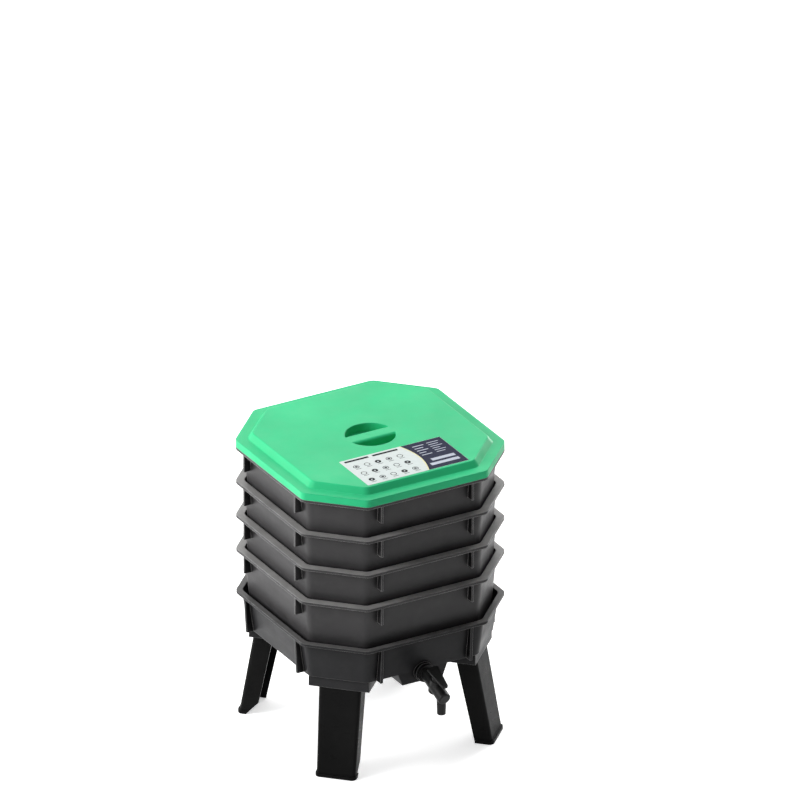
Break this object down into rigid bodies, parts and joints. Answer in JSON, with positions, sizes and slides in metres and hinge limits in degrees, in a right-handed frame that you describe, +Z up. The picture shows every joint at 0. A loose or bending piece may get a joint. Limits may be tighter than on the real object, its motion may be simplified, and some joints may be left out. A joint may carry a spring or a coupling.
{
  "type": "wormery",
  "caption": "Stacking worm composter: lid with a hand recess, nesting trays with mesh floors, a liquid basin on splayed legs and a drain tap",
  "frame": {"origin": "on the ground, under the middle of the footprint, tap included", "axes": "+Z up, the tap points to -Y, +X to the right as seen from the tap's side"},
  "size_m": [0.4, 0.4623, 0.5509],
  "materials": {
    "green_plastic": "green moulded plastic with a faint sheen",
    "label_film": "thin printed film, white and navy",
    "black_plastic": "charcoal black moulded plastic, satin",
    "tap_plastic": "black moulded plastic",
    "rubber_seal": "black rubber"
  },
  "bodies": {
    "base": {"base": "black_plastic", "leg_front_left": "black_plastic", "leg_front_right": "black_plastic", "leg_rear_right": "black_plastic", "leg_rear_left": "black_plastic", "tap_body": "tap_plastic", "tap_nut": "tap_plastic", "tap_washer_inner": "rubber_seal", "tap_washer_outer": "rubber_seal"},
    "guide_trough": {"guide_trough": "black_plastic"},
    "tray_4": {"tray_4": "black_plastic", "tray_4_mesh_floor": "black_plastic"},
    "tray_3": {"tray_3": "black_plastic", "tray_3_mesh_floor": "black_plastic"},
    "tray_2": {"tray_2": "black_plastic", "tray_2_mesh_floor": "black_plastic"},
    "tray_1": {"tray_1": "black_plastic", "tray_1_mesh_floor": "black_plastic"},
    "lid": {"lid": "green_plastic", "lid_label": "label_film"},
    "tap_lever": {"tap_lever": "tap_plastic"}
  },
  "joints": [
    {"name": "lift_guide_trough", "type": "slide", "parent": "base", "child": "guide_trough", "axis": [0, 0, 1], "range_m": [0, 0.109]},
    {"name": "lift_tray_4", "type": "slide", "parent": "guide_trough", "child": "tray_4", "axis": [0, 0, 1], "range_m": [0, 0.082]},
    {"name": "lift_tray_3", "type": "slide", "parent": "tray_4", "child": "tray_3", "axis": [0, 0, 1], "range_m": [0, 0.14]},
    {"name": "lift_tray_2", "type": "slide", "parent": "tray_3", "child": "tray_2", "axis": [0, 0, 1], "range_m": [0, 0.113]},
    {"name": "lift_tray_1", "type": "slide", "parent": "tray_2", "child": "tray_1", "axis": [0, 0, 1], "range_m": [0, 0.124]},
    {"name": "lift_lid", "type": "slide", "parent": "tray_1", "child": "lid", "axis": [0, 0, 1], "range_m": [0, 0.11]},
    {"name": "tap_lever_turn", "type": "hinge", "parent": "base", "child": "tap_lever", "pos_m": [0, -0.19469, 0.16674], "axis": [0, -0.342, 0.9397], "range_deg": [0, 90]}
  ]
}
